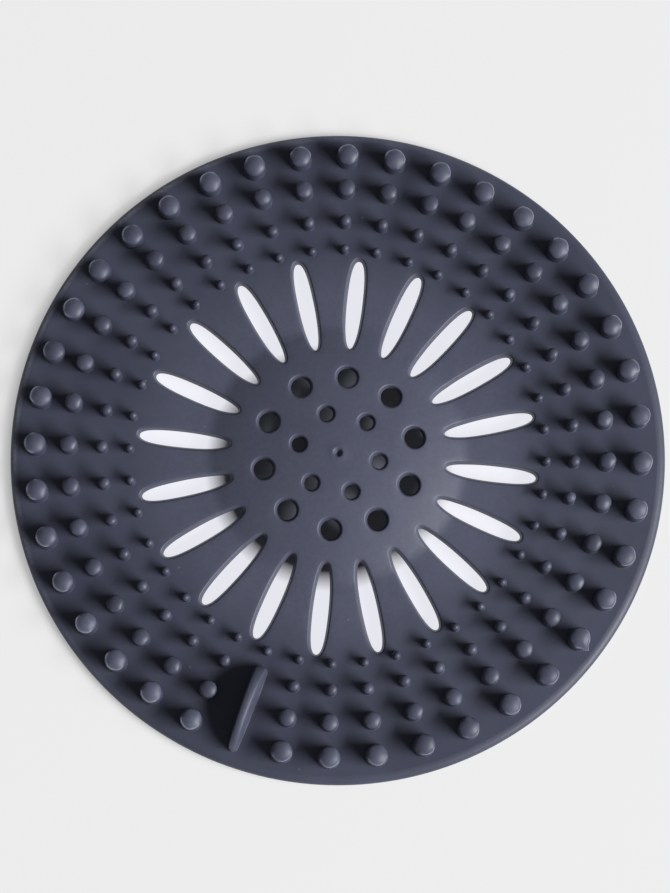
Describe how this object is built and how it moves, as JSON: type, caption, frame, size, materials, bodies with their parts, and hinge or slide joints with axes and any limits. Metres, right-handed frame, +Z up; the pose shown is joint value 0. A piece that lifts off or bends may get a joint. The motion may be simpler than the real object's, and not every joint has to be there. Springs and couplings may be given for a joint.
{
  "type": "sink strainer",
  "caption": "Round soft rubber strainer disc with a domed hub, radial drain slots, rows of hair-catching pegs, a lift tab and suction cups underneath.",
  "frame": {"origin": "centre of the disc, on the surface that its rim lies on", "axes": "+Z up through the dome, away from the drain; +X to the right and +Y to the top of the picture, so the lift tab stands at 250.5 degrees from +X"},
  "size_m": [0.13, 0.13, 0.0093],
  "materials": {
    "rubber": "satin moulded rubber, dark slate grey with a faint blue cast"
  },
  "bodies": {
    "strainer": {"hub_dome": "rubber", "web_rib_01": "rubber", "web_rib_02": "rubber", "web_rib_03": "rubber", "web_rib_04": "rubber", "web_rib_05": "rubber", "web_rib_06": "rubber", "web_rib_07": "rubber", "web_rib_08": "rubber", "web_rib_09": "rubber", "web_rib_10": "rubber", "web_rib_11": "rubber", "web_rib_12": "rubber", "web_rib_13": "rubber", "web_rib_14": "rubber", "web_rib_15": "rubber", "web_rib_16": "rubber", "web_rib_17": "rubber", "web_rib_18": "rubber", "web_rib_19": "rubber", "web_rib_20": "rubber", "inner_peg_ring": "rubber", "third_peg_ring": "rubber", "second_peg_ring": "rubber", "outer_peg_ring": "rubber", "rim_skirt": "rubber", "suction_cup_1": "rubber", "suction_cup_2": "rubber", "suction_cup_3": "rubber", "suction_cup_4": "rubber"},
    "tab": {"lift_tab": "rubber"}
  },
  "joints": [
    {"name": "tab_flex", "type": "hinge", "parent": "strainer", "child": "tab", "pos_m": [-0.01776, -0.05015, 0.00431], "axis": [-0.3337, -0.9424, -0.0212], "range_deg": [-40, 40], "stiffness_Nm_per_rad": 0.012}
  ]
}
